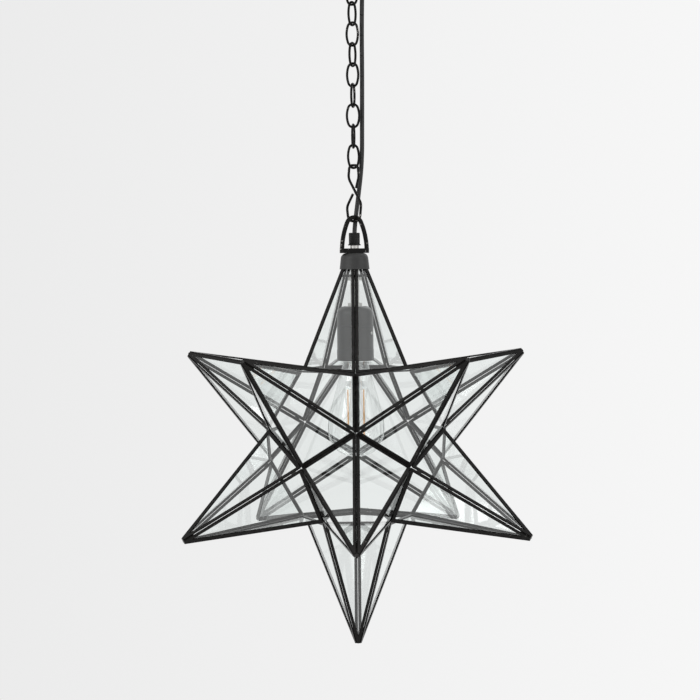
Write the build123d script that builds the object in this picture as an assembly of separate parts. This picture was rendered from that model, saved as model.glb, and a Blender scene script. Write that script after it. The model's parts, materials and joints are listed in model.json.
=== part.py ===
"""Moravian star pendant: a twelve-point star of framed glass panes, hung on a chain.

Millimetres, +Z up. The origin is the centre of the bracket's top face, which lies on the
ceiling, so everything hangs below it. Azimuth is counted from the front (-Y) towards +X.
"""
import math
import os

from build123d import *

# ------------------------------------------------------------------ star: points and panes
base_edge = 77.3  # short edge of a pane, along the outer face
point_height = 157.0  # from a point's base to where its outer faces would meet
tip_cut = 11.0  # a point's blunt end lies this far below that meeting place
came_width = 3.3  # channel round each pane, across its face
came_thickness = 1.7
came_web = 0.8
came_flange = 0.3
ridge_slit = 0.5  # gap left between the two channels of a ridge, at their inner faces
glass_thickness = 0.95
glass_edge_gap = 0.4  # from a pane's edge to the channel's web
glass_tip_gap = 9.0  # a pane's blunt tip lies this far below the end of the channel
door_gap = 0.4  # round the base of the point that opens
tip_plug_length = 13.0
ridge_bead_length = 6.0
ridge_bead_start = 7.0  # from a core corner, along the ridge

# ------------------------------------------------------------------ top of the star
top_cut = 31.0  # the top point is cut off this far below its meeting place
cap_rim_drop = 40.6  # cap's rim below the top point's meeting place
cap_rim_radius = 17.3
cap_shoulder_radius = 15.3
cap_height = 18.7
cap_wall = 0.9
cap_round = 6.5
plate_drop = 9.0  # hanger plate's top below the cap's rim
plate_thickness = 3.0
tube_radius = 5.0
tube_bore_radius = 3.4
tube_top_reach = 4.6  # tube stands this far above the loop's foot bar
tube_fit = 0.1
tube_in_holder = 5.0
locknut_flats = 14.0
locknut_height = 4.0

# ------------------------------------------------------------------ hanging loop
loop_turn = 20.0  # degrees about Z
loop_half_width = 15.1  # centre of the strap at the foot
loop_leg_radius = 84.0
loop_rise = 33.0  # height over which each leg bends in
strap_radial = 5.0
strap_depth = 3.0
strap_round = 1.0
foot_thickness = 5.4
foot_depth = 12.0
foot_overhang = 2.6

# ------------------------------------------------------------------ cord grip and cord
cord_diameter = 5.2
grip_radius = 6.4
grip_flange_radius = 7.3
grip_flange_height = 1.4
grip_body_height = 9.0
grip_ring_height = 5.6
grip_bore_radius = 3.2
grip_mouth_radius = 4.4
grip_foot_gap = 3.4  # tube shows over this height between foot bar and grip
cord_in_tube = 1.0  # the sheath is stripped off this far below the grip
core_radius = 0.9
core_offset = 1.2
core_below_tube = 12.0

# ------------------------------------------------------------------ chain and S-hook
link_wire = 2.8
link_length = 29.35
link_width = 17.0
link_end_radius = 5.8  # centre line, at the ends
link_gap = 0.3
link_turns = [-25, 55, -23, 61, -25, 75, 0, 100, 29]  # degrees about Z, from the top
s_wire = 3.0
s_turn = -38.0
s_height = 64.5  # between the centre lines of its two turns
strap_gap = 0.4  # between S-hook and hanging loop

# ------------------------------------------------------------------ ceiling fitting
canopy_radius = 58.0
canopy_height = 30.0
canopy_wall = 1.0
canopy_round = 9.0
canopy_hole_gap = 0.4
hook_wire = 3.5
hook_shank_radius = 3.0
hook_drop = 27.0  # from the canopy's face to the centre of the hook's lowest wire
hook_half_width = 8.5
hook_lip = 11.0
hook_nut_flats = 10.0
hook_nut_height = 4.4
hook_shank_end = 5.0  # shank goes on this far above the bracket's middle
collar_radius = 7.0
collar_height = 6.0
collar_edge = 1.6
thread_fit = 0.05
bracket_length = 96.0
bracket_width = 22.0
bracket_thickness = 2.0
bracket_drop = 8.0  # the bracket's middle stands this far off the ceiling
bracket_step = 22.0  # half length of the dropped middle
bracket_slope = 6.0
screw_spacing = 76.0
screw_hole_radius = 2.4
slot_length = 10.0
bush_x, bush_y = 12.2, 6.0
bush_radius = 5.4
bush_flange_radius = 6.3
bush_flange_height = 1.6
bush_nose_radius = 5.0
bush_nose_height = 5.0
bush_bore_radius = 3.7
bush_fit = 0.1
block_size = (12.0, 18.0, 10.0)
block_y = 4.5

# ------------------------------------------------------------------ lampholder and bulb
holder_radius = 21.0
holder_wall = 1.5
holder_round = 9.0
holder_cap_height = 20.5
holder_shell_height = 29.0
holder_ring_height = 13.4
holder_top_below_cap_rim = 42.8
holder_lip = 1.6
holder_mouth_gap = 3.6
insert_gap = 0.4
socket_gap = 0.35
bulb_radius = 32.0
bulb_length = 118.0  # glass, from its neck's end to the bottom
bulb_seat = 7.0  # neck's end above the mouth of the lampholder
bulb_overlap = 4.0  # screw cap's shoulder laps over the neck
bulb_wall = 0.9
bulb_neck_radius = 14.4
screw_cap_radius = 13.1
screw_cap_height = 24.0
screw_cap_wall = 0.5
contact_height = 3.8
contact_gap = 0.3
contact_strip = 0.6
filament_radius = 0.8
filament_spread = 10.0
filament_lengths = (46.0, 58.0)
stem_reach = 39.8  # from the neck's end down to the pinch
wire_radius = 0.5

# ------------------------------------------------------------------ hinge of the back point
hinge_radius = 2.2
hinge_pin_radius = 1.0
hinge_pin_fit = 0.05
hinge_standoff = 3.3  # pin's centre line above the valley line
hinge_half_length = 15.0
hinge_knuckle_gap = 0.3
leaf_thickness = 0.8
leaf_width = 7.0
pull_from_corner = 22.0  # along the door's lowest ridge
pull_height = 9.0
pull_radius = 4.0

# ------------------------------------------------------------------ worked out from the above
golden = (1 + math.sqrt(5)) / 2
apothem = base_edge / (2 * math.tan(math.pi / 5))
mid_radius = base_edge * golden**2 / 2
in_radius = math.sqrt(mid_radius**2 - apothem**2)
corner_radius = math.sqrt(mid_radius**2 + (base_edge / 2) ** 2)
reach = in_radius + point_height
slant = math.hypot(point_height, apothem)
half_apex = math.atan2(base_edge / 2, slant)
upright = Vector(0, 0, 1)


def direction(azimuth, height):
    """Unit vector at an azimuth from the front, with the given Z."""
    level = math.sqrt(1 - height**2)
    turn = math.radians(azimuth)
    return Vector(level * math.sin(turn), -level * math.cos(turn), height)


ring_height = 1 / math.sqrt(5)
points = {
    "top": upright,
    "bottom": -upright,
    "upper_front_left": direction(-36, ring_height),
    "upper_front_right": direction(36, ring_height),
    "upper_left": direction(-108, ring_height),
    "upper_right": direction(108, ring_height),
    "door": direction(180, ring_height),
    "lower_front": direction(0, -ring_height),
    "lower_left": direction(-72, -ring_height),
    "lower_right": direction(72, -ring_height),
    "lower_back_left": direction(-144, -ring_height),
    "lower_back_right": direction(144, -ring_height),
}

face_cosine = points["top"].dot(points["door"])  # between neighbouring points' axes


def pane_frame(a, b):
    """Plane on the outer face of point a's pane towards point b: X along the base edge, Y up."""
    middle = (a + b).normalized() * mid_radius
    slope = (a * reach - middle).normalized()
    along = a.cross(b).normalized()
    outward = along.cross(slope)
    if outward.dot(middle) < 0:
        along = -along
        outward = -outward
    return Plane(origin=middle, x_dir=along, z_dir=outward)


def neighbours(name):
    """Names of the five points next to this one, in order round its axis."""
    axis = points[name]
    around = [n for n, b in points.items() if abs(axis.dot(b) - face_cosine) < 1e-6]
    side = (points[around[0]] - axis * face_cosine).normalized()
    other = axis.cross(side)
    return sorted(around, key=lambda n: math.atan2(points[n].dot(other), points[n].dot(side)))


# angles between faces, taken from the panes themselves
top_ring = neighbours("top")
first_normal = pane_frame(points["top"], points[top_ring[0]]).z_dir
second_normal = pane_frame(points["top"], points[top_ring[1]]).z_dir
ridge_half = (math.pi - first_normal.get_angle(second_normal) * math.pi / 180) / 2
ridge_inset = came_thickness / math.tan(ridge_half) + ridge_slit / (2 * math.sin(ridge_half))
face_tilt = math.atan2(point_height, apothem)
inner_reach = reach - came_thickness / math.cos(face_tilt)

# ------------------------------------------------------------------ heights, from the ceiling down
link_half = (link_length - link_wire) / 2
link_pitch = link_length - 2 * link_wire - link_gap
hook_bottom = -canopy_height - hook_drop
block_face = -bracket_drop - bracket_thickness - block_size[2]
first_link_z = hook_bottom + hook_wire / 2 + link_wire / 2 + link_gap - link_half
link_z = [first_link_z - link_pitch * i for i in range(len(link_turns))]
last_link_bottom = link_z[-1] - link_half
s_top = last_link_bottom + link_wire / 2 + s_wire / 2 + link_gap
s_bottom = s_top - s_height
s_z = (s_top + s_bottom) / 2
loop_top = s_bottom + s_wire / 2 + strap_radial / 2 + strap_gap
leg_swing = math.asin(loop_rise / loop_leg_radius)
leg_end_x = loop_half_width - loop_leg_radius * (1 - math.cos(leg_swing))
crown_radius = leg_end_x / math.cos(leg_swing)
loop_height = foot_thickness / 2 + loop_rise + crown_radius * (1 - math.sin(leg_swing))
foot_bottom = loop_top - loop_height
foot_top = foot_bottom + foot_thickness
cap_top = foot_bottom
cap_rim = cap_top - cap_height
star_z = cap_rim + cap_rim_drop - reach
star_centre = Vector(0, 0, star_z)
grip_bottom = foot_top + grip_foot_gap
grip_top = grip_bottom + grip_body_height + grip_ring_height
tube_top = foot_top + tube_top_reach
plate_top = cap_rim - plate_drop + plate_thickness
holder_top = cap_rim - holder_top_below_cap_rim
shell_top = holder_top - holder_cap_height
ring_top = shell_top - holder_shell_height
holder_bottom = ring_top - holder_ring_height
tube_bottom = holder_top - tube_in_holder
neck_end = holder_bottom + bulb_seat
bulb_bottom = neck_end - bulb_length
screw_cap_top = neck_end - bulb_overlap + screw_cap_height
stem_foot = neck_end - stem_reach
socket_floor = screw_cap_top + contact_height + contact_gap + contact_strip


def at_star(shape):
    return Pos(0, 0, star_z) * shape


# ------------------------------------------------------------------ shapes used more than once
def disc(radius, low, high, x=0.0, y=0.0):
    """Upright cylinder between two heights."""
    blank = Cylinder(radius, high - low, align=(Align.CENTER, Align.CENTER, Align.MIN))
    return Pos(x, y, low) * blank


def turned(corners):
    """Solid of revolution about Z from a closed outline of (radius, height) corners."""
    outline = make_face(Polyline(*[(r, 0, z) for r, z in corners], close=True))
    return revolve(outline, Axis.Z)


def hexagon(flats, low, high, bore):
    """Nut between two heights."""
    face = RegularPolygon(flats / 2, 6, major_radius=False)
    return Pos(0, 0, low) * extrude(face, high - low) - disc(bore, low, high)


def round_wire(path, radius):
    """Sweep a round section along a path that starts square to it."""
    start = Plane(origin=path @ 0, z_dir=path % 0)
    return sweep(start * Circle(radius), path=path)


def extruded(corners, depth, towards):
    """Prism on a flat outline of points, towards a direction."""
    return extrude(make_face(Polyline(*corners, close=True)), depth, dir=towards)


# ------------------------------------------------------------------ one pane, in its own plane
def drawn_in(from_base, from_sides):
    """Left, right and top corners of the pane's triangle, drawn in from its edges."""
    top = slant - from_sides / math.sin(half_apex)
    right = (top - from_base) * math.tan(half_apex)
    return (-right, from_base), (right, from_base), (0, top)


def above(cut):
    """Everything higher than a level square to the point's axis, cut below the meeting place."""
    rise = Vector(0, point_height / slant, apothem / slant)
    foot = (point_height - cut) * slant / point_height
    level = Plane(origin=(0, foot, 0), x_dir=(1, 0, 0), z_dir=rise)
    size = 2 * base_edge
    return level * Box(size, size, size, align=(Align.CENTER, Align.CENTER, Align.MIN))


def pane_channels(base_inset, cut):
    """Three mitred lengths of U-channel round a pane: base, right and left."""
    outer = drawn_in(base_inset, ridge_inset)
    inner = drawn_in(base_inset + came_width, ridge_inset + came_width)
    floor = drawn_in(base_inset + came_web, ridge_inset + came_web)
    groove_width = came_thickness - 2 * came_flange
    slot = Pos(0, 0, -came_flange) * extruded(floor, groove_width, (0, 0, -1))
    waste = above(cut)
    strips = []
    for i in range(3):
        j = (i + 1) % 3
        blank = extruded([outer[i], outer[j], inner[j], inner[i]], came_thickness, (0, 0, -1))
        strip = blank - slot
        if i:
            strip = strip - waste
        strips.append(strip)
    return strips


def pane_glass(base_inset, cut):
    """The glass, seated in the grooves of its channels."""
    inset = came_web + glass_edge_gap
    left, right, top = drawn_in(base_inset + inset, ridge_inset + inset)
    tip_y = (point_height - cut) * slant / point_height - glass_tip_gap
    tip_x = (top[1] - tip_y) * math.tan(half_apex)
    outline = [left, right, (tip_x, tip_y), (-tip_x, tip_y)]
    face_drop = (came_thickness - glass_thickness) / 2
    return Pos(0, 0, -face_drop) * extruded(outline, glass_thickness, (0, 0, -1))


def pane_places(name):
    """Locations of a point's five panes, in order round its axis."""
    return [pane_frame(points[name], points[n]).location for n in neighbours(name)]


def placed(solids, places):
    return [place * solid for place in places for solid in solids]


def tip_plug(name):
    """Solder inside a point's tip, bearing on the inner faces of its channels."""
    top = tip_cut
    low = tip_cut + tip_plug_length
    return core_block(name, inner_reach - (reach - top), low - top, top)


def core_block(name, start, length, cut):
    """Pentagonal block that fills a point between two levels square to its axis."""
    axis = points[name]
    sections = []
    for drop in (cut, cut + length):
        inside = drop - (reach - inner_reach)
        inradius = inside / math.tan(face_tilt)
        side = (points[neighbours(name)[0]] - axis * face_cosine).normalized()
        level = Plane(origin=axis * (reach - drop), x_dir=side, z_dir=axis)
        face = RegularPolygon(inradius, 5, major_radius=False)
        sections.append(level * Rot(0, 0, 36) * face)
    return loft(sections)


# ------------------------------------------------------------------ solder
def ridge_sides(name, i):
    """For the ridge between panes i and i+1: its foot, its direction and the two panes' planes."""
    ring = neighbours(name)
    axis = points[name]
    j = (i + 1) % 5
    corner = (axis + points[ring[i]] + points[ring[j]]).normalized() * corner_radius
    along = (axis * reach - corner).normalized()
    frames = [pane_frame(axis, points[ring[k]]) for k in (i, j)]
    return corner, along, frames


def ridge_bead(name, i):
    """Short bead of solder in the foot of a ridge's groove."""
    corner, along, frames = ridge_sides(name, i)
    here = corner + along * ridge_bead_start
    walls = []
    for frame in frames:
        inward = frame.z_dir.cross(along)
        if inward.dot(frame.origin - corner) < 0:
            inward = -inward
        edge = here + inward * ridge_inset
        walls.append((edge - frame.z_dir * came_thickness / 2, edge - frame.z_dir * came_thickness))
    outline = [walls[0][0], walls[0][1], walls[1][1], walls[1][0]]
    return extruded(outline, ridge_bead_length, along)


def valley_seam(a, b):
    """Solder that fills the inside of the valley between two points."""
    near = pane_frame(points[a], points[b])
    far = pane_frame(points[b], points[a])
    length = drawn_in(0, ridge_inset)[1][0] * 2
    along = near.x_dir
    start = near.origin - along * length / 2
    outline = [
        start,
        start - near.z_dir * came_thickness,
        start - far.z_dir * came_thickness,
    ]
    return extruded(outline, length, along)


def valleys():
    """Pairs of neighbouring points, without those of the point that opens."""
    fixed = [n for n in points if n != "door"]
    return [(a, b) for i, a in enumerate(fixed) for b in fixed[i + 1 :] if b in neighbours(a)]


# ------------------------------------------------------------------ chain
def link():
    """One oval link on the XZ plane, its wire's centre line made of four tangent arcs."""
    tall = link_half
    wide = (link_width - link_wire) / 2
    end_z = tall - link_end_radius
    side = (end_z**2 - (wide - link_end_radius) ** 2) / (2 * (wide - link_end_radius))
    lean = math.atan2(end_z, side)
    join_x = link_end_radius * math.cos(lean)
    join_z = end_z + link_end_radius * math.sin(lean)
    corners = [(-join_x, 0, join_z), (join_x, 0, join_z), (join_x, 0, -join_z), (-join_x, 0, -join_z)]
    middles = [(0, 0, tall), (wide, 0, 0), (0, 0, -tall), (-wide, 0, 0)]
    arcs = [
        ThreePointArc(corners[i], middles[i], corners[(i + 1) % 4]) for i in range(4)
    ]
    return round_wire(Wire(arcs), link_wire / 2)


def s_hook():
    """Closed S-hook on the XZ plane, centred at its middle."""
    half = s_height / 2
    corners = [
        (3.4, 0, 5.8),
        (7.4, 0, 19.0),
        (6.1, 0, half),
        (-6.1, 0, half),
        (-7.8, 0, 17.5),
        (10.6, 0, -12.0),
        (8.3, 0, -half),
        (-8.3, 0, -half),
        (-10.4, 0, -15.5),
        (-1.2, 0, -0.8),
    ]
    radii = [14.0, 5.2, 5.0, 13.0, 11.0, 7.2, 7.2, 12.0]
    return round_wire(FilletPolyline(*corners, radius=radii), s_wire / 2)


def ceiling_hook():
    """Threaded shank, collar seat and open hook, the hook on the YZ plane."""
    neck = -canopy_height - collar_height
    corners = [
        (0, 0, neck + 2.0),
        (0, 0, neck - 3.0),
        (0, hook_half_width, neck - hook_half_width),
        (0, hook_half_width, hook_bottom),
        (0, -hook_half_width, hook_bottom),
        (0, -hook_half_width, hook_bottom + hook_lip),
    ]
    bend = hook_half_width - 0.2
    radii = [3.5, 3.0, bend, bend]
    wire = round_wire(FilletPolyline(*corners, radius=radii), hook_wire / 2)
    shank = disc(hook_shank_radius, neck + 0.5, -bracket_drop + hook_shank_end)
    return wire + shank


# ------------------------------------------------------------------ hanging loop
def hanging_loop():
    """Pointed arch of flat strap with a foot bar across it, in one piece."""
    springing = foot_bottom + foot_thickness / 2
    crown_z = springing + loop_rise - crown_radius * math.sin(leg_swing)
    half_swing = leg_swing / 2
    leg_mid_x = loop_half_width - loop_leg_radius * (1 - math.cos(half_swing))
    leg_mid_z = springing + loop_leg_radius * math.sin(half_swing)
    leg_end_z = springing + loop_rise
    left = ThreePointArc(
        (-loop_half_width, 0, springing), (-leg_mid_x, 0, leg_mid_z), (-leg_end_x, 0, leg_end_z)
    )
    crown = ThreePointArc(
        (-leg_end_x, 0, leg_end_z), (0, 0, crown_z + crown_radius), (leg_end_x, 0, leg_end_z)
    )
    right = ThreePointArc(
        (leg_end_x, 0, leg_end_z), (leg_mid_x, 0, leg_mid_z), (loop_half_width, 0, springing)
    )
    path = Wire([left, crown, right])
    section = Plane(origin=path @ 0, x_dir=(1, 0, 0), z_dir=path % 0)
    strap = sweep(section * RectangleRounded(strap_radial, strap_depth, strap_round), path=path)
    foot_half = loop_half_width + foot_overhang
    bar = extrude(SlotOverall(2 * foot_half, foot_depth), foot_thickness)
    bar = Pos(0, 0, foot_bottom) * bar - disc(tube_radius + tube_fit, foot_bottom, foot_top)
    return Rot(0, 0, loop_turn) * (strap + bar)


# ------------------------------------------------------------------ cap, plate, tube, grip
def star_cap():
    """Spun cap with rounded shoulders over the cut-off top point."""

    def cup(inset):
        low = cap_rim - (1.0 if inset else 0.0)
        rim = cap_rim_radius - inset
        shoulder = cap_shoulder_radius - inset
        top = cap_top - inset
        section = make_face(
            Polyline((0, 0, low), (rim, 0, low), (shoulder, 0, top), (0, 0, top), close=True)
        )
        corner = section.vertices().filter_by(lambda v: v.Z > top - 0.1 and v.X > 1)
        return revolve(fillet(corner, cap_round - inset), Axis.Z)

    hole = disc(tube_radius + tube_fit, cap_rim, cap_top)
    return cup(0.0) - cup(cap_wall) - hole


def hanger_plate():
    """Pentagonal plate soldered inside the top point, bored for the tube."""
    cut = star_z + reach - plate_top
    plate = at_star(core_block("top", 0, plate_thickness, cut))
    return plate - disc(tube_radius + tube_fit, plate_top - 2 * plate_thickness, plate_top + 1)


def threaded_tube():
    outer = disc(tube_radius, tube_bottom, tube_top)
    return outer - disc(tube_bore_radius, tube_bottom, tube_top)


def tube_locknuts():
    under_plate = plate_top - plate_thickness
    on_holder = holder_top
    upper = hexagon(locknut_flats, under_plate - locknut_height, under_plate, tube_radius + tube_fit)
    lower = hexagon(locknut_flats, on_holder, on_holder + locknut_height, tube_radius + tube_fit)
    return [upper, lower]


def grip_body():
    """Lower half of the cord grip, screwed down over the tube's top end."""
    flange = disc(grip_flange_radius, grip_bottom, grip_bottom + grip_flange_height)
    body = disc(grip_radius, grip_bottom, grip_bottom + grip_body_height)
    blank = flange + body
    blank = blank - disc(tube_radius + tube_fit, grip_bottom, tube_top + 0.2)
    return blank - disc(grip_bore_radius, grip_bottom, grip_bottom + grip_body_height)


def grip_ring():
    """Clamping ring on top of the grip, with a mouth that lets the cord lean."""
    low = grip_bottom + grip_body_height
    ring = disc(grip_radius, low, grip_top)
    ring = chamfer(ring.edges().group_by(Axis.Z)[-1], 0.6)
    return ring - disc(grip_mouth_radius, low, grip_top)


# ------------------------------------------------------------------ cord
def supply_cord():
    """Round cord from the terminal block, out through the bush and down to the grip."""
    route = [
        (bush_x, bush_y, block_face),
        (bush_x, bush_y, -50.0),
        (10.9, 4.8, -104.0),
        (10.9, 5.1, -160.0),
        (10.3, 5.2, -215.0),
        (9.8, 6.5, -262.0),
        (5.2, 7.5, -300.0),
        (1.3, 6.2, grip_top + 13.7),
        (0.0, 0.0, grip_top - 2.4),
        (0.0, 0.0, grip_bottom - cord_in_tube),
    ]
    corners = [Vector(*p) for p in route]
    runs = [corners[i + 1] - corners[i] for i in range(len(corners) - 1)]
    radii = []
    for before, after in zip(runs, runs[1:]):
        half_turn = math.radians(before.get_angle(after)) / 2
        radii.append(0.45 * min(before.length, after.length) / math.tan(half_turn))
    print("cord radii", [round(r, 1) for r in radii])
    print("cord runs", [round(r.length, 1) for r in runs])
    path = FilletPolyline(*corners, radius=radii)
    cord = round_wire(path, cord_diameter / 2)
    ideal = math.pi * (cord_diameter / 2) ** 2 * path.length
    print("cord length", round(path.length, 1), "volume / ideal", round(cord.volume / ideal, 5))
    return cord


def core_wires():
    """Two cores that go on from the cord down the tube to the lampholder."""
    top = grip_bottom - cord_in_tube
    low = holder_top - core_below_tube
    return [disc(core_radius, low, top, x=side * core_offset) for side in (-1, 1)]


# ------------------------------------------------------------------ lampholder
def holder_cap():
    """Domed top shell of the lampholder, screwed on the tube."""
    top = holder_top
    low = shell_top

    def dome(inset):
        base = low - (1.0 if inset else 0.0)
        radius = holder_radius - inset
        section = make_face(
            Polyline((0, 0, base), (radius, 0, base), (radius, 0, top - inset), (0, 0, top - inset),
                     close=True)
        )
        corner = section.vertices().filter_by(lambda v: v.Z > top - inset - 0.1 and v.X > 1)
        return revolve(fillet(corner, holder_round - inset), Axis.Z)

    return dome(0.0) - dome(holder_wall) - disc(tube_radius + tube_fit, low, top)


def holder_shell():
    """Straight middle shell, with a shallow bead at its top."""
    inner = holder_radius - holder_wall
    bead = holder_radius + 0.35
    corners = [
        (inner, ring_top),
        (holder_radius, ring_top),
        (holder_radius, shell_top - 3.4),
        (bead, shell_top - 2.8),
        (bead, shell_top - 1.2),
        (holder_radius, shell_top - 0.6),
        (holder_radius, shell_top),
        (inner, shell_top),
    ]
    return turned(corners)


def holder_ring():
    """Threaded skirt ring at the mouth of the lampholder."""
    mouth = bulb_neck_radius + holder_mouth_gap
    lip = holder_lip
    corners = [
        (mouth, holder_bottom),
        (holder_radius - 0.6, holder_bottom),
        (holder_radius + 0.3, holder_bottom + 0.9),
        (holder_radius + 0.3, ring_top - 0.4),
        (holder_radius, ring_top),
        (holder_radius - holder_wall, ring_top),
        (holder_radius - holder_wall, holder_bottom + lip),
        (mouth, holder_bottom + lip),
    ]
    return turned(corners)


def holder_insert():
    """Ceramic socket body with a bore for the bulb's screw cap."""
    radius = holder_radius - holder_wall - insert_gap
    low = holder_bottom + holder_lip + insert_gap
    bore = screw_cap_radius + socket_gap
    body = disc(radius, low, socket_floor + 5.0)
    mouth = disc(bulb_neck_radius + 2.2, low, neck_end + 2.4)
    return body - disc(bore, low, socket_floor) - mouth


def holder_contacts():
    """Centre contact spring and side contact strip on the floor of the socket."""
    strip = Pos(0, 0, socket_floor - contact_strip / 2) * Box(9.0, 4.0, contact_strip)
    terminals = [Pos(side * 9.0, 0, socket_floor + 7.4) * Box(5.0, 6.0, 4.8) for side in (-1, 1)]
    return [strip] + terminals


# ------------------------------------------------------------------ bulb
def bulb_outline(inset, top):
    """Closed half outline of the bulb's glass, drawn in by a wall."""
    low = bulb_bottom + inset
    wide = bulb_radius - inset
    neck = bulb_neck_radius - inset
    path = FilletPolyline(
        (0, 0, low),
        (wide, 0, low),
        (wide + 0.6, 0, bulb_bottom + 42.0),
        (neck + 3.0, 0, neck_end - 20.0),
        (neck, 0, neck_end - 10.0),
        (neck, 0, top),
        radius=[29.0 - inset, 58.0, 22.0, 5.0],
    )
    closing = Polyline((neck, 0, top), (0, 0, top), (0, 0, low))
    return make_face([path, closing])


def bulb_glass():
    outer = revolve(bulb_outline(0.0, neck_end), Axis.Z)
    inner = revolve(bulb_outline(bulb_wall, neck_end + 1.0), Axis.Z)
    return outer - inner


def bulb_screw_cap():
    """Screw shell, with shallow rolled turns, and its shoulder round the glass neck."""
    low = neck_end - bulb_overlap
    inner = screw_cap_radius - screw_cap_wall
    shoulder = bulb_neck_radius + 0.2
    body = turned(
        [
            (shoulder, low),
            (shoulder + screw_cap_wall, low),
            (shoulder + screw_cap_wall, neck_end + 0.2),
            (screw_cap_radius, neck_end + 2.0),
            (screw_cap_radius, screw_cap_top - 2.0),
            (screw_cap_radius - 2.4, screw_cap_top),
            (inner - 2.4, screw_cap_top),
            (inner, screw_cap_top - 2.2),
            (inner, neck_end + 1.8),
            (shoulder, neck_end),
        ]
    )
    return body


def bulb_contact():
    """Insulator and centre contact that close the screw cap."""
    rim = screw_cap_radius - screw_cap_wall - 2.6
    return turned(
        [
            (0, screw_cap_top - 1.0),
            (rim, screw_cap_top - 1.0),
            (rim, screw_cap_top + 0.2),
            (5.0, screw_cap_top + 1.8),
            (4.4, screw_cap_top + contact_height - 0.4),
            (0, screw_cap_top + contact_height),
        ]
    )


def bulb_stem():
    """Glass mount: flare in the neck, tube and the pinch that carries the wires."""
    flare = bulb_neck_radius - bulb_wall - 0.2
    top = neck_end - 0.4
    foot = stem_foot
    return turned(
        [
            (0, top),
            (flare, top),
            (flare, top - 1.0),
            (5.0, top - 7.0),
            (3.6, top - 12.0),
            (3.6, foot + 8.0),
            (2.2, foot),
            (0, foot),
        ]
    )


def bulb_wires():
    """Cross wire and the two drops that hold the filaments' ends."""
    cross = Rot(0, 90, 0) * Cylinder(wire_radius, 2 * filament_spread)
    return [Pos(0, 0, stem_foot - wire_radius) * cross]


def bulb_filaments():
    """Two straight glowing rods that hang from the cross wire."""
    top = stem_foot - 2 * wire_radius
    x = filament_spread - filament_radius
    rods = []
    for side, length in zip((-1, 1), filament_lengths):
        rods.append(disc(filament_radius, top - length, top, x=side * x))
    return rods


# ------------------------------------------------------------------ ceiling fitting
def canopy():
    """Spun canopy, open towards the ceiling, with holes for hook and cord bush."""

    def cup(inset):
        low = -canopy_height + inset
        top = 0.0 if inset == 0 else 1.0
        radius = canopy_radius - inset
        section = make_face(
            Polyline((0, 0, low), (radius, 0, low), (radius, 0, top), (0, 0, top), close=True)
        )
        corner = section.vertices().filter_by(lambda v: v.Z < low + 0.1 and v.X > 1)
        return revolve(fillet(corner, canopy_round - inset), Axis.Z)

    shell = cup(0.0) - cup(canopy_wall)
    low = -canopy_height
    shell = shell - disc(hook_shank_radius + canopy_hole_gap, low, low + canopy_wall)
    return shell - disc(bush_radius + bush_fit, low, low + canopy_wall, x=bush_x, y=bush_y)


def bracket():
    """Strap with dropped middle, two slots for ceiling screws and a threaded centre hole."""
    half = bracket_length / 2
    step = bracket_step
    slope = bracket_slope
    drop = bracket_drop
    upper = [(-half, 0), (-step - slope, 0), (-step, -drop), (step, -drop), (step + slope, 0), (half, 0)]
    lower = [(x, z - bracket_thickness) for x, z in reversed(upper)]
    side = [(x, bracket_width / 2, z) for x, z in upper + lower]
    strap = extruded(side, bracket_width, (0, -1, 0))
    slot = extrude(SlotOverall(slot_length, 2 * screw_hole_radius), 3 * bracket_thickness)
    for x in (-screw_spacing / 2, screw_spacing / 2):
        strap = strap - Pos(x, 0, -2 * bracket_thickness) * slot
    return strap - disc(hook_shank_radius + thread_fit, -drop - 2 * bracket_thickness, 0)


def hook_nut():
    """Lock nut on the hook's shank, above the bracket's middle."""
    low = -bracket_drop
    return hexagon(hook_nut_flats, low, low + hook_nut_height, hook_shank_radius + thread_fit)


def canopy_collar():
    """Knurled round nut that holds the canopy up."""
    low = -canopy_height - collar_height
    blank = disc(collar_radius, low, -canopy_height)
    blank = chamfer(blank.edges().group_by(Axis.Z)[0], collar_edge)
    return blank - disc(hook_shank_radius + thread_fit, low, -canopy_height)


def cord_bush():
    """Flanged bush that guards the cord where it leaves the canopy."""
    face = -canopy_height
    low = face - bush_nose_height
    top = face + canopy_wall + bush_flange_height
    flange = disc(bush_flange_radius, face - bush_flange_height, face, x=bush_x, y=bush_y)
    nose = disc(bush_nose_radius, low, face, x=bush_x, y=bush_y)
    neck = disc(bush_radius, face, top, x=bush_x, y=bush_y)
    return flange + nose + neck - disc(bush_bore_radius, low, top, x=bush_x, y=bush_y)


def terminal_block():
    """Two-way screw terminal block on the bracket's underside."""
    return Pos(bush_x, block_y, block_face + block_size[2] / 2) * Box(*block_size)


# ------------------------------------------------------------------ hinge and pull
hinge_frame_door = pane_frame(points["door"], points["top"])
hinge_frame_top = pane_frame(points["top"], points["door"])
hinge_out = hinge_frame_door.origin.normalized()
hinge_centre = hinge_frame_door.origin + hinge_out * hinge_standoff


def knuckle(low, high):
    """Length of hinge barrel between two places along X, at the star."""
    turned_over = Plane(origin=hinge_centre + Vector(low, 0, 0), z_dir=(1, 0, 0))
    blank = turned_over * Cylinder(
        hinge_radius, high - low, align=(Align.CENTER, Align.CENTER, Align.MIN)
    )
    return blank


def pin_hole():
    start = Plane(origin=hinge_centre - Vector(hinge_half_length + 2, 0, 0), z_dir=(1, 0, 0))
    length = 2 * hinge_half_length + 4
    return start * Cylinder(
        hinge_pin_radius + hinge_pin_fit, length, align=(Align.CENTER, Align.CENTER, Align.MIN)
    )


def leaf_plate(frame, low, high, start, end):
    """Flat of a hinge leaf on a pane's base channel, between places along X."""
    towards_x = frame.x_dir.X
    x_low, x_high = sorted((low * towards_x, high * towards_x))
    corners = [(x_low, start), (x_high, start), (x_high, end), (x_low, end)]
    return frame.location * extruded(corners, leaf_thickness, (0, 0, 1))


clear_of_barrel = 4.4  # leaf flats run full length beyond this distance from the valley line
third = hinge_half_length / 3


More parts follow.
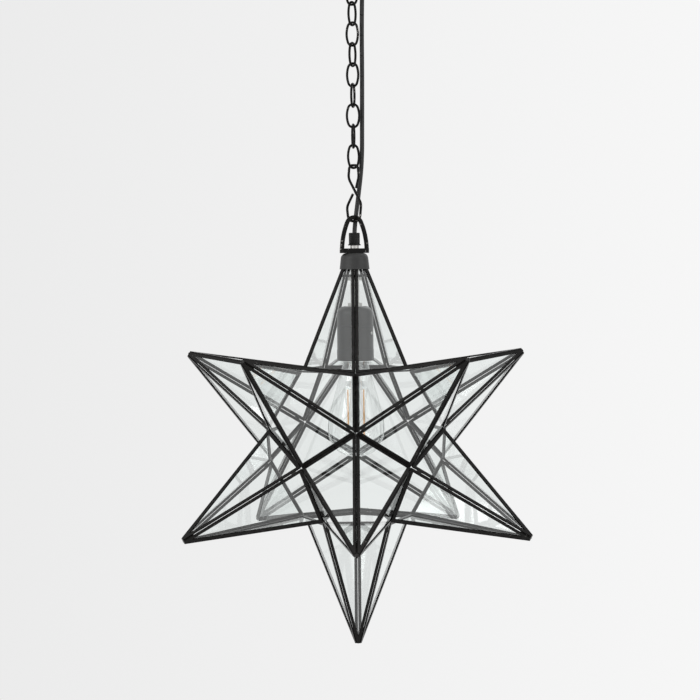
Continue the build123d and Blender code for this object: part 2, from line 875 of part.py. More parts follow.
def hinge_leaf_fixed():
    """Leaf on the top point: two outer knuckles joined by a strip."""
    leaf = leaf_plate(hinge_frame_top, -hinge_half_length, hinge_half_length, clear_of_barrel, leaf_width)
    for low, high in ((-hinge_half_length, -third), (third, hinge_half_length)):
        leaf = leaf + leaf_plate(hinge_frame_top, low, high, 0.9, leaf_width) + knuckle(low, high)
    return leaf - pin_hole()


def hinge_leaf_door():
    """Leaf on the point that opens: one middle knuckle and a strip."""
    inner = third - hinge_knuckle_gap
    leaf = leaf_plate(hinge_frame_door, -hinge_half_length, hinge_half_length, clear_of_barrel, leaf_width)
    leaf = leaf + leaf_plate(hinge_frame_door, -inner, inner, 1.3, leaf_width)
    return leaf + knuckle(-inner, inner) - pin_hole()


def hinge_pin():
    """Pin through the knuckles, with a head at one end."""
    start = Plane(origin=hinge_centre - Vector(hinge_half_length, 0, 0), z_dir=(1, 0, 0))
    shaft = start * Cylinder(
        hinge_pin_radius, 2 * hinge_half_length, align=(Align.CENTER, Align.CENTER, Align.MIN)
    )
    head_at = Plane(origin=hinge_centre - Vector(hinge_half_length, 0, 0), z_dir=(-1, 0, 0))
    head = head_at * Cylinder(
        hinge_radius - 0.4, 0.8, align=(Align.CENTER, Align.CENTER, Align.MIN)
    )
    return shaft + head


def door_pull():
    """Small knob on the lowest ridge of the point that opens."""
    ring = neighbours("door")
    lowest = min(range(5), key=lambda i: ridge_sides("door", i)[0].Z)
    corner, along, frames = ridge_sides("door", lowest)
    outward = (frames[0].z_dir + frames[1].z_dir).normalized()
    drop = ridge_inset * math.cos(ridge_half)
    seat = corner + along * pull_from_corner - outward * drop
    profile = [
        (0, 0),
        (2.6, 0),
        (1.7, 1.2),
        (1.7, pull_height - 4.6),
        (pull_radius, pull_height - 3.4),
        (pull_radius, pull_height - 1.0),
        (pull_radius - 1.0, pull_height),
        (0, pull_height),
    ]
    return Plane(origin=seat, z_dir=outward).location * turned(profile)


# ------------------------------------------------------------------ all nodes
def star_nodes():
    """Frames, glass and solder of the twelve points."""
    nodes = {}
    strips = pane_channels(0.0, tip_cut)
    glass = pane_glass(0.0, tip_cut)
    panes = {"glass_upper_points": [], "glass_lower_points": [], "glass_bottom_point": []}
    solder = []
    for name, axis in points.items():
        places = pane_places(name)
        if name == "door":
            nodes["frame_door"] = placed(pane_channels(door_gap, tip_cut), places)
            nodes["glass_door"] = placed([pane_glass(door_gap, tip_cut)], places)
            nodes["door_solder"] = [tip_plug(name)] + [ridge_bead(name, i) for i in range(5)]
            continue
        if name == "top":
            nodes["frame_top"] = placed(pane_channels(0.0, top_cut), places)
            panes["glass_upper_points"] += placed([pane_glass(0.0, top_cut)], places)
        else:
            nodes["frame_" + name] = placed(strips, places)
            solder.append(tip_plug(name))
            group = "upper_points" if axis.Z > 0 else "lower_points"
            group = "bottom_point" if name == "bottom" else group
            panes["glass_" + group] += placed([glass], places)
        solder += [ridge_bead(name, i) for i in range(5)]
    nodes.update(panes)
    nodes["ridge_and_tip_solder"] = solder
    nodes["valley_solder"] = [valley_seam(a, b) for a, b in valleys()]
    nodes["hinge_leaf_fixed"] = [hinge_leaf_fixed()]
    nodes["hinge_leaf_door"] = [hinge_leaf_door()]
    nodes["hinge_pin"] = [hinge_pin()]
    nodes["door_pull"] = [door_pull()]
    return {name: [at_star(s) for s in solids] for name, solids in nodes.items()}


def hanging_nodes():
    """Ceiling fitting, cord, chain, hook, loop, cap, lampholder and bulb."""
    nodes = {
        "ceiling_bracket": [bracket()],
        "canopy": [canopy()],
        "ceiling_hook": [ceiling_hook()],
        "hook_nut": [hook_nut()],
        "canopy_collar": [canopy_collar()],
        "cord_bush": [cord_bush()],
        "terminal_block": [terminal_block()],
        "supply_cord": [supply_cord()],
        "s_hook": [Pos(0, 0, s_z) * Rot(0, 0, s_turn) * s_hook()],
        "hanging_loop": [hanging_loop()],
        "cord_grip_body": [grip_body()],
        "cord_grip_ring": [grip_ring()],
        "threaded_tube": [threaded_tube()],
        "tube_locknuts": tube_locknuts(),
        "core_wires": core_wires(),
        "star_cap": [star_cap()],
        "hanger_plate": [hanger_plate()],
        "lampholder_cap": [holder_cap()],
        "lampholder_shell": [holder_shell()],
        "lampholder_ring": [holder_ring()],
        "lampholder_insert": [holder_insert()],
        "lampholder_contacts": holder_contacts(),
        "bulb_glass": [bulb_glass()],
        "bulb_screw_cap": [bulb_screw_cap()],
        "bulb_contact": [bulb_contact()],
        "bulb_stem": [bulb_stem()] + bulb_wires(),
        "bulb_filaments": bulb_filaments(),
    }
    one_link = link()
    for i, (turn, z) in enumerate(zip(link_turns, link_z)):
        nodes[f"chain_link_{i + 1:02d}"] = [Pos(0, 0, z) * Rot(0, 0, turn) * one_link]
    return nodes


def main():
    os.makedirs("parts", exist_ok=True)
    nodes = {**hanging_nodes(), **star_nodes()}
    for name, solids in nodes.items():
        flat = [s for shape in solids for s in shape.solids()]
        export_step(Compound(children=flat), f"parts/{name}.step")
    print(len(nodes), "nodes")
    print("star centre z", round(star_z, 2), "cap rim above it", round(cap_rim - star_z, 2))


main()
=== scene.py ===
"""Looks of the star pendant: materials, cord, bulb details, light and camera.

Metres, in the shared frame: the origin is on the ceiling above the lamp, +Z is up and -Y faces
the camera. Values marked mm are in millimetres.
"""

import json
import math

import bmesh
import bpy
from mathutils import Matrix, Vector


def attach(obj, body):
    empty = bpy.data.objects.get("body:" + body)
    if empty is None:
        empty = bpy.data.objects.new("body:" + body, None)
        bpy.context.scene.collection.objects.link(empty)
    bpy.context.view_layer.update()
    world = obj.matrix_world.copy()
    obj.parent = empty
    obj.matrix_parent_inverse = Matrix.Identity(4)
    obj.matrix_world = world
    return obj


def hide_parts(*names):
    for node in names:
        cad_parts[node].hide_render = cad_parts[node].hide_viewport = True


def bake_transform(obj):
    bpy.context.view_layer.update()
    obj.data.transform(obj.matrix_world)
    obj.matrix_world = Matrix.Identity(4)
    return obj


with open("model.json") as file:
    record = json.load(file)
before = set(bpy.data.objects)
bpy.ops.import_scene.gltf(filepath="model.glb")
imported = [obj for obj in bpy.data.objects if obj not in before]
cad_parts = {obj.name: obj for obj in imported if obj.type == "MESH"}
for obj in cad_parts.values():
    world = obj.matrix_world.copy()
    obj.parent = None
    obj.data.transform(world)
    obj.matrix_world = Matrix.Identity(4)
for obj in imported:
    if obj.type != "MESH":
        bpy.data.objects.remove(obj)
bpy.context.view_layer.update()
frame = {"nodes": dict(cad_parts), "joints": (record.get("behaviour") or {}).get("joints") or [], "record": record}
nodes = frame["nodes"]
scene = bpy.context.scene
scene.view_settings.view_transform = "Standard"

MM = 0.001
UP = Vector((0, 0, 1))


# ------------------------------------------------------------------ shader helpers
class Graph:
    """Short names for adding shader nodes to a new material or world."""

    def __init__(self, owner, output="OutputMaterial", where="Object"):
        owner.use_nodes = True
        self.owner = owner
        self.tree = owner.node_tree
        self.tree.nodes.clear()
        self.out = self.node(output)
        self.where = self.node("TexCoord").outputs[where]

    def node(self, kind, **values):
        """A node with its properties set, and its inputs set or linked, by name."""
        made = self.tree.nodes.new("ShaderNode" + kind)
        for key, value in values.items():
            if hasattr(made, key):
                setattr(made, key, value)
            else:
                self.feed(made.inputs[key.replace("_", " ")], value)
        return made

    def feed(self, socket, value):
        """Link an input to another node's output, or set its value."""
        if isinstance(value, bpy.types.NodeSocket):
            self.tree.links.new(value, socket)
        elif socket.type == "RGBA":
            socket.default_value = (*value, 1.0)
        else:
            socket.default_value = value

    def noise(self, scale, detail=4.0, rough=0.55, distortion=0.0):
        made = self.node(
            "TexNoise",
            Vector=self.where,
            Scale=scale,
            Detail=detail,
            Roughness=rough,
            Distortion=distortion,
        )
        return made.outputs["Fac"]

    def ramp(self, value, stops):
        """A value turned into a colour, or a grey, between stops."""
        made = self.node("ValToRGB", Fac=value)
        elements = made.color_ramp.elements
        while len(elements) < len(stops):
            elements.new(0.5)
        for element, (position, colour) in zip(elements, stops):
            element.position = position
            if isinstance(colour, float):
                colour = (colour, colour, colour)
            element.color = (*colour, 1.0)
        return made.outputs["Color"]

    def maths(self, operation, *operands):
        made = self.node("Math", operation=operation)
        for socket, value in zip(made.inputs, operands):
            self.feed(socket, value)
        return made.outputs[0]

    def axes(self, vector):
        """The X, Y and Z outputs of a vector."""
        made = self.node("SeparateXYZ")
        self.feed(made.inputs[0], vector)
        return made.outputs

    def mix_colour(self, factor, a, b):
        made = self.node("Mix", data_type="RGBA", Factor=factor)
        self.feed(made.inputs[6], a)
        self.feed(made.inputs[7], b)
        return made.outputs[2]

    def mix_shader(self, factor, a, b):
        made = self.node("MixShader", Fac=factor)
        self.feed(made.inputs[1], a)
        self.feed(made.inputs[2], b)
        return made.outputs["Shader"]

    def bump(self, height, strength, distance):
        made = self.node("Bump", Height=height, Strength=strength, Distance=distance)
        return made.outputs["Normal"]

    def principled(self, colour, roughness, metallic=0.0, specular=0.5, normal=None):
        made = self.node(
            "BsdfPrincipled",
            Base_Color=colour,
            Roughness=roughness,
            Metallic=metallic,
            Specular_IOR_Level=specular,
        )
        if normal is not None:
            self.feed(made.inputs["Normal"], normal)
        return made.outputs["BSDF"]

    def surface(self, shader):
        """Use a shader as the surface, and return the material or world."""
        self.feed(self.out.inputs["Surface"], shader)
        return self.owner


def material_graph(name):
    return Graph(bpy.data.materials.new(name))


# ------------------------------------------------------------------ kinds of material
RIDGES_AROUND = 26.0  # crossed ridges round the grip
RIDGES_ALONG = 4200.0  # radians of ridge for each metre of height
SHINE_FACE_ON = 0.058  # share that one face of glass reflects, seen square on
SHINE_RISE = 0.94  # and how much more it reflects at a grazing angle
SHINE_POWER = 5.0


def blackened_metal(name, dark, light, wear_and_glint, rough, wear_and_glint_share, specular):
    """Blackened steel: mottled black, fine grain, and small light spots that are rubbed wear and painted glints.
    """
    g = material_graph(name)
    base = g.ramp(g.noise(55.0, detail=5.0, rough=0.6), [(0.3, dark), (0.72, light)])
    wear_and_glint_noise = g.noise(210.0, detail=6.0, rough=0.7, distortion=0.4)
    wear_and_glint_mask = g.ramp(wear_and_glint_noise, [(wear_and_glint_share, 0.0), (wear_and_glint_share + 0.05, 1.0)])
    # Light spots: rubbed wear, and also painted glints on the dark metal.
    colour = g.mix_colour(wear_and_glint_mask, base, wear_and_glint)
    roughness = g.ramp(g.noise(120.0), [(0.3, rough - 0.07), (0.75, rough + 0.12)])
    grain = g.bump(g.noise(900.0, detail=3.0, rough=0.6), strength=0.35, distance=0.00018)
    return g.surface(g.principled(colour, roughness, specular=specular, normal=grain))


def knurl_with_painted_shading(name, dark, light, rough):
    """Black moulding with crossed fine ridges round an upright axis, its colour painted darker in the grooves as
    shade and lighter on the crests as highlight.
    """
    g = material_graph(name)
    place = g.axes(g.where)
    around = g.maths("MULTIPLY", g.maths("ARCTAN2", place["Y"], place["X"]), RIDGES_AROUND)
    along = g.maths("MULTIPLY", place["Z"], RIDGES_ALONG)
    one_way = g.maths("SINE", g.maths("ADD", around, along))
    other_way = g.maths("SINE", g.maths("SUBTRACT", around, along))
    height = g.maths("MAXIMUM", one_way, other_way)
    # Painted shading: darker down in the grooves and lighter on the crests of the ridges.
    colour = g.ramp(height, [(0.0, dark), (1.0, light)])
    ridges = g.bump(height, strength=0.8, distance=0.0005)
    return g.surface(g.principled(colour, rough, specular=0.3, normal=ridges))


def satin_paint(name, dark, light, rough, specular=0.35):
    """Even satin coat with a faint orange-peel surface."""
    g = material_graph(name)
    colour = g.ramp(g.noise(38.0, rough=0.5), [(0.3, dark), (0.75, light)])
    roughness = g.ramp(g.noise(160.0), [(0.3, rough - 0.05), (0.75, rough + 0.08)])
    peel = g.bump(g.noise(1400.0, detail=2.0), strength=0.2, distance=0.00012)
    return g.surface(g.principled(colour, roughness, specular=specular, normal=peel))


def plated(name, dark, light, rough):
    """Plated metal with cloudy tone and a fine grain."""
    g = material_graph(name)
    colour = g.ramp(g.noise(90.0, detail=5.0, rough=0.6), [(0.3, dark), (0.75, light)])
    roughness = g.ramp(g.noise(240.0), [(0.3, rough - 0.08), (0.75, rough + 0.12)])
    grain = g.bump(g.noise(700.0, detail=3.0), strength=0.25, distance=0.00012)
    return g.surface(g.principled(colour, roughness, metallic=1.0, normal=grain))


def soft_plastic(name, colour, rough, specular=0.4):
    """Moulded plastic or rubber with a very fine skin."""
    g = material_graph(name)
    darker, lighter = (tuple(c * share for c in colour) for share in (0.85, 1.12))
    tone = g.mix_colour(g.noise(130.0), darker, lighter)
    roughness = g.ramp(g.noise(300.0), [(0.3, rough - 0.05), (0.8, rough + 0.08)])
    skin = g.bump(g.noise(1900.0, detail=2.0), strength=0.25, distance=0.0001)
    return g.surface(g.principled(tone, roughness, specular=specular, normal=skin))


def clear_sheet(name, tint, gloss, smooth, smeared, waves, wave_height):
    """Glass drawn as one sheet: see-through, with the gloss of both its faces at once."""
    g = material_graph(name)
    see = g.node("BsdfTransparent", Color=tint)
    smear = g.ramp(g.noise(26.0, detail=5.0, rough=0.6), [(0.35, smooth), (0.8, smeared)])
    ripple = g.bump(g.noise(waves, detail=2.0), strength=0.3, distance=wave_height)
    shine = g.node("BsdfGlossy", Color=gloss, Roughness=smear, Normal=ripple)
    facing = g.node("LayerWeight", Blend=0.5).outputs["Facing"]
    steep = g.maths("POWER", facing, SHINE_POWER)
    one_face = g.maths("MULTIPLY_ADD", steep, SHINE_RISE, SHINE_FACE_ON)
    twice = g.maths("MULTIPLY", one_face, 2.0)
    both_faces = g.maths("DIVIDE", twice, g.maths("ADD", one_face, 1.0))
    return g.surface(g.mix_shader(both_faces, see.outputs["BSDF"], shine.outputs["BSDF"]))


# ------------------------------------------------------------------ the lamp's materials
came_black = blackened_metal(
    "came_black",
    dark=(0.0035, 0.0032, 0.003),
    light=(0.0125, 0.0115, 0.0108),
    wear_and_glint=(0.07, 0.066, 0.062),
    rough=0.28,
    wear_and_glint_share=0.63,
    specular=0.16,
)
solder_black = blackened_metal(
    "solder_black",
    dark=(0.006, 0.0056, 0.0053),
    light=(0.024, 0.0225, 0.021),
    wear_and_glint=(0.24, 0.235, 0.23),
    rough=0.3,
    wear_and_glint_share=0.6,
    specular=0.3,
)
chain_black = blackened_metal(
    "chain_black",
    dark=(0.0016, 0.0015, 0.0014),
    light=(0.0058, 0.0053, 0.005),
    # The near-white spots on the chain are painted glints as well as rubbed wear.
    wear_and_glint=(0.5, 0.48, 0.46),
    rough=0.3,
    wear_and_glint_share=0.615,
    specular=0.12,
)
cap_grey = satin_paint(
    "cap_grey",
    dark=(0.016, 0.016, 0.0158),
    light=(0.046, 0.046, 0.0455),
    rough=0.46,
    specular=0.3,
)
holder_black = satin_paint(
    "holder_black", dark=(0.02, 0.02, 0.0202), light=(0.036, 0.036, 0.0362), rough=0.36
)
# The grip's dark and light tones are painted groove shade and crest highlight.
grip_black_painted_shading = knurl_with_painted_shading(
    "grip_black_painted_shading", dark=(0.0025, 0.0025, 0.0026), light=(0.012, 0.012, 0.0122), rough=0.38
)
canopy_black = satin_paint(
    "canopy_black",
    dark=(0.006, 0.0057, 0.0054),
    light=(0.014, 0.0133, 0.0126),
    rough=0.36,
    specular=0.25,
)
zinc = plated("zinc", dark=(0.36, 0.355, 0.34), light=(0.62, 0.61, 0.59), rough=0.36)
brass = plated("brass", dark=(0.55, 0.4, 0.16), light=(0.78, 0.62, 0.3), rough=0.3)
nickel = plated("nickel", dark=(0.55, 0.54, 0.52), light=(0.76, 0.75, 0.73), rough=0.28)
ceramic = soft_plastic("ceramic", (0.72, 0.7, 0.66), rough=0.42)
rubber_black = soft_plastic("rubber_black", (0.0115, 0.0115, 0.012), rough=0.42)
block_white = soft_plastic("block_white", (0.7, 0.7, 0.68), rough=0.5)
core_brown = soft_plastic("core_insulation", (0.16, 0.1, 0.06), rough=0.45)
black_glass = soft_plastic("black_glass", (0.015, 0.015, 0.018), rough=0.2, specular=0.6)
amber = soft_plastic("filament_amber", (1.0, 0.42, 0.05), rough=0.6)
pane_glass = clear_sheet(
    "pane_glass",
    tint=(0.945, 0.962, 0.957),
    gloss=(0.97, 0.985, 0.98),
    smooth=0.015,
    smeared=0.05,
    waves=14.0,
    wave_height=0.0004,
)
bulb_clear = clear_sheet(
    "bulb_clear",
    tint=(0.97, 0.975, 0.973),
    gloss=(0.97, 0.98, 0.98),
    smooth=0.01,
    smeared=0.04,
    waves=30.0,
    wave_height=0.0002,
)
stem_clear = clear_sheet(
    "stem_clear",
    tint=(0.9, 0.91, 0.9),
    gloss=(0.97, 0.98, 0.98),
    smooth=0.02,
    smeared=0.06,
    waves=60.0,
    wave_height=0.0001,
)

MATERIAL_OF_SLOT = {
    "came": came_black,
    "solder": solder_black,
    "black_metal": chain_black,
    "cap_grey": cap_grey,
    "holder_black": holder_black,
    "zinc": zinc,
    "brass": brass,
    "cap_nickel": nickel,
    "ceramic": ceramic,
    "cord_black": rubber_black,
    "block_plastic": block_white,
    "core_insulation": core_brown,
    "black_glass": black_glass,
    "filament": amber,
    "clear_glass": pane_glass,
    "bulb_glass": bulb_clear,
}
MATERIAL_OF_NODE = {
    "canopy": canopy_black,
    "cord_grip_body": grip_black_painted_shading,
    "cord_grip_ring": grip_black_painted_shading,
    "bulb_stem": stem_clear,
}
SLOT_OF = {entry["node"]: entry["material_slot"] for entry in frame["record"]["subparts"]}


def dress(node, material):
    """Give every material slot of a CAD node one material."""
    materials = nodes[node].data.materials
    if not materials:
        materials.append(material)
    for i in range(len(materials)):
        materials[i] = material


for node_name in nodes:
    by_slot = MATERIAL_OF_SLOT[SLOT_OF[node_name]]
    dress(node_name, MATERIAL_OF_NODE.get(node_name, by_slot))


# ------------------------------------------------------------------ camera, as in the photograph
PICTURE = 700  # pixels across
SENSOR = 36.0  # mm across
FOCAL = 2359.5  # pixels
DISTANCE = 2.7384  # from the middle of the star
PITCH = math.radians(4.45)
ROLL = math.radians(0.57)
TURN = math.radians(0.23)
STAR_Z = -586.99 * MM
STAR_AT = (356.36, 443.91)  # pixel where the middle of the star is


def photo_camera():
    """Camera a little above the star, aimed so that the star falls where the photograph has it."""
    target = Vector((0, 0, STAR_Z))
    level = math.cos(PITCH)
    away = Vector((math.sin(TURN) * level, -math.cos(TURN) * level, math.sin(PITCH)))
    right = Vector((math.cos(TURN), math.sin(TURN), 0))
    up = away.cross(right)
    rolled_right = right * math.cos(ROLL) - up * math.sin(ROLL)
    rolled_up = right * math.sin(ROLL) + up * math.cos(ROLL)
    basis = Matrix((rolled_right, rolled_up, away)).transposed()
    lift = Matrix.Rotation(math.atan((STAR_AT[1] - PICTURE / 2) / FOCAL), 3, "X")
    swing = Matrix.Rotation(math.atan((STAR_AT[0] - PICTURE / 2) / FOCAL), 3, "Y")
    lens = bpy.data.cameras.new("camera")
    lens.sensor_width = SENSOR
    lens.lens = FOCAL / PICTURE * SENSOR
    lens.clip_start = 0.05
    lens.clip_end = 60.0
    camera = bpy.data.objects.new("camera", lens)
    scene.collection.objects.link(camera)
    place = Matrix.Translation(target + away * DISTANCE)
    camera.matrix_world = place @ (basis @ swing @ lift).to_4x4()
    scene.camera = camera


photo_camera()


# ------------------------------------------------------------------ shared mesh helpers
def circle(sides):
    """Cosine and sine of even steps round a circle."""
    turns = [2 * math.pi * k / sides for k in range(sides)]
    return [(math.cos(turn), math.sin(turn)) for turn in turns]


def ring_quads(a, b, sides):
    """Quads between two rings of corners, which start at corners a and b."""
    return [(a + k, a + (k + 1) % sides, b + (k + 1) % sides, b + k) for k in range(sides)]


def new_mesh(name, verts, faces):
    mesh = bpy.data.meshes.new(name)
    mesh.from_pydata([tuple(v) for v in verts], [], faces)
    return mesh


def add(mesh, material, body=None):
    """Show a mesh as a piece in a material slot, riding on a body if one is given."""
    made = bpy.data.objects.new(mesh.name, mesh)
    mesh.materials.clear()
    mesh.materials.append(material)
    scene.collection.objects.link(made)
    if body:
        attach(made, body)
    return made


# ------------------------------------------------------------------ world, floor and lamps
WHITE = (1.0, 1.0, 1.0)
ROOM_LIGHT = 0.75  # strength of the light that falls on the lamp
PALE_LEFT, PALE_RIGHT = 0.836, 0.928  # the backdrop is a little brighter on the right
PALE_SPAN = 0.15  # sideways part of the directions between which it brightens
ROOM_BEHIND_CAMERA = 0.95  # a little dimmer than the backdrop
FLOOR_RADIUS = 2.6
FLOOR_Z = -2.3
FLOOR_RINGS, FLOOR_SIDES = 24, 96
FADE_FROM, FADE_TO = 0.45, 0.98  # shares of the floor's radius between which it fades out
SOFTBOXES = [  # name, place, aim, size, power in watts
    ("key", (-2.2, -1.8, 0.6), (0, 0, -0.6), (1.6, 1.6), 26.0),
    ("fill", (2.4, -1.6, 0.2), (0, 0, -0.6), (1.4, 1.8), 10.0),
    ("rim", (0.4, 2.2, 0.9), (0, 0, -0.5), (1.8, 1.0), 12.0),
]


def pale_world():
    """Soft white light, and a pale backdrop where a ray sees it directly or through glass."""
    world = bpy.data.worlds.new("studio")
    scene.world = world
    g = Graph(world, "OutputWorld", "Generated")
    direction = g.axes(g.where)
    level = g.node(
        "MapRange",
        Value=direction["X"],
        From_Min=-PALE_SPAN,
        From_Max=PALE_SPAN,
        To_Min=PALE_LEFT,
        To_Max=PALE_RIGHT,
    )
    room = g.node(
        "MapRange",
        interpolation_type="SMOOTHSTEP",
        Value=direction["Y"],
        From_Min=-0.95,
        From_Max=0.1,
        To_Min=ROOM_BEHIND_CAMERA,
        To_Max=1.0,
    )
    shade = g.maths("MULTIPLY", level.outputs["Result"], room.outputs["Result"])
    light = g.node("Background", Color=WHITE, Strength=ROOM_LIGHT)
    seen = g.node("Background", Color=WHITE, Strength=shade)
    ray = g.node("LightPath").outputs
    direct = g.maths("MAXIMUM", ray["Is Camera Ray"], ray["Is Glossy Ray"])
    through = g.maths("MAXIMUM", direct, ray["Is Transmission Ray"])
    g.surface(g.mix_shader(through, light.outputs["Background"], seen.outputs["Background"]))


def pale_floor():
    """Round floor well below the lamp that fades out at its rim."""
    verts = [(0.0, 0.0, 0.0)]
    for i in range(1, FLOOR_RINGS + 1):
        radius = FLOOR_RADIUS * i / FLOOR_RINGS
        verts += [(radius * c, radius * s, 0.0) for c, s in circle(FLOOR_SIDES)]
    steps = [(k, (k + 1) % FLOOR_SIDES) for k in range(FLOOR_SIDES)]
    faces = [(0, 1 + k, 1 + j) for k, j in steps]
    for i in range(1, FLOOR_RINGS):
        a, b = 1 + (i - 1) * FLOOR_SIDES, 1 + i * FLOOR_SIDES
        faces += [(a + k, b + k, b + j, a + j) for k, j in steps]
    mesh = new_mesh("floor", verts, faces)
    floor = bpy.data.objects.new("floor", mesh)
    floor.location = (0, 0, FLOOR_Z)
    scene.collection.objects.link(floor)
    g = material_graph("floor_pale")
    tone = g.ramp(g.noise(3.0, detail=3.0), [(0.2, 0.8), (0.8, 0.84)])
    matt = g.principled(tone, 0.9, specular=0.1)
    reach = g.node("VectorMath", operation="LENGTH")
    g.feed(reach.inputs[0], g.where)
    fade = g.node(
        "MapRange",
        Value=reach.outputs["Value"],
        From_Min=FLOOR_RADIUS * FADE_FROM,
        From_Max=FLOOR_RADIUS * FADE_TO,
    )
    clear = g.node("BsdfTransparent")
    shader = g.mix_shader(fade.outputs["Result"], matt, clear.outputs["BSDF"])
    mesh.materials.append(g.surface(shader))


def softbox(name, place, aim, size, power):
    lamp = bpy.data.lights.new(name, "AREA")
    lamp.shape = "RECTANGLE"
    lamp.size, lamp.size_y = size
    lamp.energy = power
    made = bpy.data.objects.new(name, lamp)
    made.location = place
    made.rotation_mode = "QUATERNION"
    made.rotation_quaternion = (Vector(aim) - Vector(place)).to_track_quat("-Z", "Y")
    scene.collection.objects.link(made)


pale_world()
pale_floor()
for box in SOFTBOXES:
    softbox(*box)


# ------------------------------------------------------------------ supply cord
CORD_RADIUS = 2.6 * MM
CORD_SIDES = 20
CORD_STEPS = 40  # steps of the curve between two points of the route
CORD_ROUTE = [  # mm, from the terminal block down to the grip
    (12.2, 6.0, -20.0),
    (12.2, 6.0, -50.0),
    (10.9, 4.8, -104.0),
    (10.9, 5.1, -160.0),
    (10.3, 5.2, -215.0),
    (9.8, 6.5, -262.0),
    (5.2, 7.5, -300.0),
    (1.3, 6.2, -328.71),
    (0.0, 0.0, -344.81),
    (0.0, 0.0, -358.01),
]


def route_line(route):
    """Points of a NURBS curve through a route, read from the curve itself."""
    data = bpy.data.curves.new("route", "CURVE")
    data.dimensions = "3D"
    data.resolution_u = CORD_STEPS
    spline = data.splines.new("NURBS")
    spline.points.add(len(route) - 1)
    for point, place in zip(spline.points, route):
        point.co = (*[c * MM for c in place], 1.0)
    spline.order_u = 3
    spline.use_endpoint_u = True
    holder = bpy.data.objects.new("route", data)
    scene.collection.objects.link(holder)
    bpy.context.view_layer.update()
    seen = holder.evaluated_get(bpy.context.evaluated_depsgraph_get())
    mesh = bpy.data.meshes.new_from_object(seen)
    line = [v.co.copy() for v in mesh.vertices]
    bpy.data.meshes.remove(mesh)
    bpy.data.objects.remove(holder)
    bpy.data.curves.remove(data)
    return line


def tube_mesh(name, points, radius, sides):
    """Closed tube along points, with rings square to the line and no twist between them."""
    last = len(points) - 1
    ahead = [
        (points[min(i + 1, last)] - points[max(i - 1, 0)]).normalized() for i in range(last + 1)
    ]
    side = ahead[0].orthogonal().normalized()
    verts = []
    for point, along in zip(points, ahead):
        side = (side - along * side.dot(along)).normalized()
        other = along.cross(side)
        verts += [point + (side * c + other * s) * radius for c, s in circle(sides)]
    faces = []
    for i in range(last):
        faces += ring_quads(i * sides, (i + 1) * sides, sides)
    faces.append(tuple(reversed(range(sides))))
    faces.append(tuple(range(last * sides, len(verts))))
    mesh = new_mesh(name, verts, faces)
    for polygon in mesh.polygons:
        polygon.use_smooth = len(polygon.vertices) == 4
    return mesh


def nearest(line, z):
    """Number of the point of a line that is closest to a height."""
    return min(range(len(line)), key=lambda i: abs(line[i].z - z))


def supply_cord():
    """The cord in short stretches, one across each joint.

    Returns each stretch as its piece and the points of its line, from the top down.
    """
    line = route_line(CORD_ROUTE)
    swings = [j for j in frame["joints"] if j["name"].endswith("_swing")]
    heights = [j["pos_m"][2] for j in swings]
    cuts = [nearest(line, (a + b) / 2) for a, b in zip(heights, heights[1:])]
    starts, stops = [0] + cuts, cuts + [len(line) - 1]
    stretches = []
    for k, (joint, start, stop) in enumerate(zip(swings, starts, stops)):
        part = line[start : stop + 1]
        mesh = tube_mesh(f"cord_{k + 1:02d}", part, CORD_RADIUS, CORD_SIDES)
        piece = add(mesh, rubber_black)
        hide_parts("supply_cord")
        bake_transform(piece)
        stretches.append((piece, part))
    return stretches


cord = supply_cord()


# ------------------------------------------------------------------ screw of the lampholder
SCREW_TURN = math.radians(-27)  # round the holder, from +X
SCREW_SEAT = 20.9  # mm from the holder's axis
SCREW_Z = -458.3  # mm
SCREW_PROFILE = [(1.9, 0.0), (1.9, 0.55), (1.55, 0.85), (0.9, 1.0)]  # mm: radius, height
SCREW_SIDES = 28
SLOT_DEPTH = 0.45  # mm
SLOT_HALF_WIDTH = 0.28  # mm
SLOT_ABOVE = 0.5  # mm: corners lower than this aren't cut by the slot


def holder_screw():
    """Slotted screw head on the side of the lampholder's shell."""
    outward = Vector((math.cos(SCREW_TURN), math.sin(SCREW_TURN), 0.0))
    side = UP.cross(outward)
    seat = outward * SCREW_SEAT * MM + Vector((0, 0, SCREW_Z * MM))
    verts, faces = [], []
    for radius, height in SCREW_PROFILE:
        for c, s in circle(SCREW_SIDES):
            across, rise = radius * c, radius * s
            in_slot = abs(rise) < SLOT_HALF_WIDTH and height > SLOT_ABOVE
            depth = height - (SLOT_DEPTH if in_slot else 0.0)
            verts.append(seat + (side * across + UP * rise + outward * depth) * MM)
    last = (len(SCREW_PROFILE) - 1) * SCREW_SIDES
    for ring in range(0, last, SCREW_SIDES):
        faces += ring_quads(ring, ring + SCREW_SIDES, SCREW_SIDES)
    faces.append(tuple(range(last, last + SCREW_SIDES)))
    add(new_mesh("holder_screw", verts, faces), nickel, "star")


holder_screw()


# ------------------------------------------------------------------ glass
WELD = 2e-6  # corners closer than this are one
SAME_WAY = 0.999  # cosine between faces that look the same way
SAME_LEVEL = 0.0001
FLAT_ANGLE = 0.01  # radians between faces that are merged
BULB_MIDDLE = -0.568  # height from which the bulb's skin faces up or down
HEIGHT_SHARE = 0.2  # of the height, since the bulb is long
PANES = [  # CAD node, body
    ("glass_upper_points", "star"),
    ("glass_lower_points", "star"),
    ("glass_bottom_point", "star"),
    ("glass_door", "door"),
]


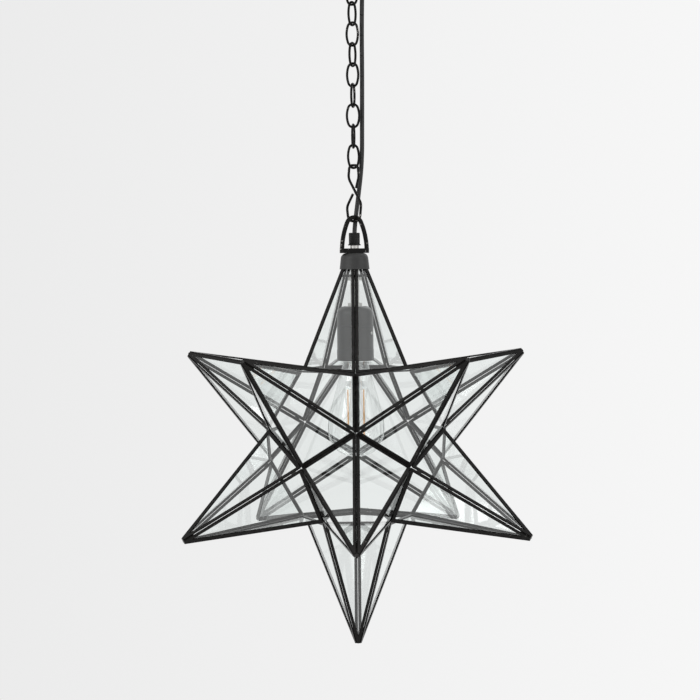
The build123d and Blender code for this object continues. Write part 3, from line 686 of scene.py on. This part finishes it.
def welded(node):
    """A copy of a CAD node's mesh whose faces share their corners."""
    made = bmesh.new()
    made.from_mesh(nodes[node].data)
    bmesh.ops.remove_doubles(made, verts=made.verts, dist=WELD)
    return made


def islands(shape):
    """Faces of a welded mesh in groups that hang together."""
    seen, groups = set(), []
    for face in shape.faces:
        if face in seen:
            continue
        seen.add(face)
        group, queue = [], [face]
        while queue:
            now = queue.pop()
            group.append(now)
            for corner in now.verts:
                for other in corner.link_faces:
                    if other not in seen:
                        seen.add(other)
                        queue.append(other)
        groups.append(group)
    return groups


def stand_in(name, shape, node, material, body):
    """Show a shape in the place of a CAD node."""
    mesh = bpy.data.meshes.new(name)
    shape.to_mesh(mesh)
    shape.free()
    piece = add(mesh, material, body)
    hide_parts(node)


def single_panes(node, body):
    """Every slab of a glass node as one sheet, midway between its two faces."""
    source = welded(node)
    sheet = bmesh.new()
    for slab in islands(source):
        widest = max(slab, key=lambda face: face.calc_area())
        normal = widest.normal.copy()
        level = widest.calc_center_median().dot(normal)
        depth = level - min(v.co.dot(normal) for face in slab for v in face.verts)
        corners = {}
        for face in slab:
            if face.normal.dot(normal) <= SAME_WAY:
                continue
            if abs(face.calc_center_median().dot(normal) - level) >= SAME_LEVEL:
                continue
            loop = []
            for v in face.verts:
                if v not in corners:
                    corners[v] = sheet.verts.new(v.co - normal * depth / 2)
                loop.append(corners[v])
            sheet.faces.new(loop)
    source.free()
    bmesh.ops.dissolve_limit(sheet, angle_limit=FLAT_ANGLE, verts=sheet.verts, edges=sheet.edges)
    stand_in(node + "_sheets", sheet, node, pane_glass, body)


def bulb_envelope():
    """The bulb's clear glass as its outer skin alone."""
    skin = welded("bulb_glass")
    inside = []
    for face in skin.faces:
        middle = face.calc_center_median()
        outward = Vector((middle.x, middle.y, (middle.z - BULB_MIDDLE) * HEIGHT_SHARE))
        if face.normal.dot(outward) <= 0:
            inside.append(face)
    bmesh.ops.delete(skin, geom=inside, context="FACES")
    for face in skin.faces:
        face.smooth = True
    stand_in("bulb_envelope", skin, "bulb_glass", bulb_clear, "bulb")


for pane_node, pane_body in PANES:
    single_panes(pane_node, pane_body)
bulb_envelope()
